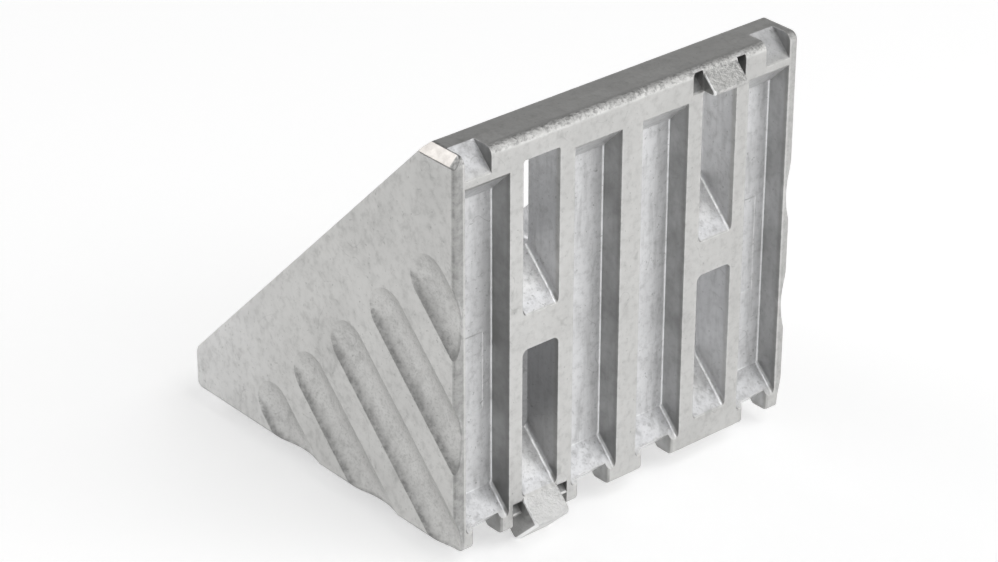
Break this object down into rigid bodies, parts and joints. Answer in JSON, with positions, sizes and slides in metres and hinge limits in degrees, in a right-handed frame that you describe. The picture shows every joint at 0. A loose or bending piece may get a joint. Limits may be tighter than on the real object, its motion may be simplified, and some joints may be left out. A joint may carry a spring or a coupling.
{
  "type": "t slot corner bracket",
  "caption": "Die-cast right-angle bracket with two slotted legs, triangular side walls and keying lugs for slotted aluminium profile.",
  "frame": {"origin": "the line where the planes of the two mounting faces meet, at mid-width", "axes": "+X across the width, -Y out of the upright mounting face, -Z out of the lying mounting face, so the legs run along +Z and +Y"},
  "size_m": [0.087, 0.0882, 0.0882],
  "materials": {
    "casting": "as cast, lightly blasted and stained"
  },
  "bodies": {
    "root": {"bracket_casting": "casting"}
  },
  "joints": []
}
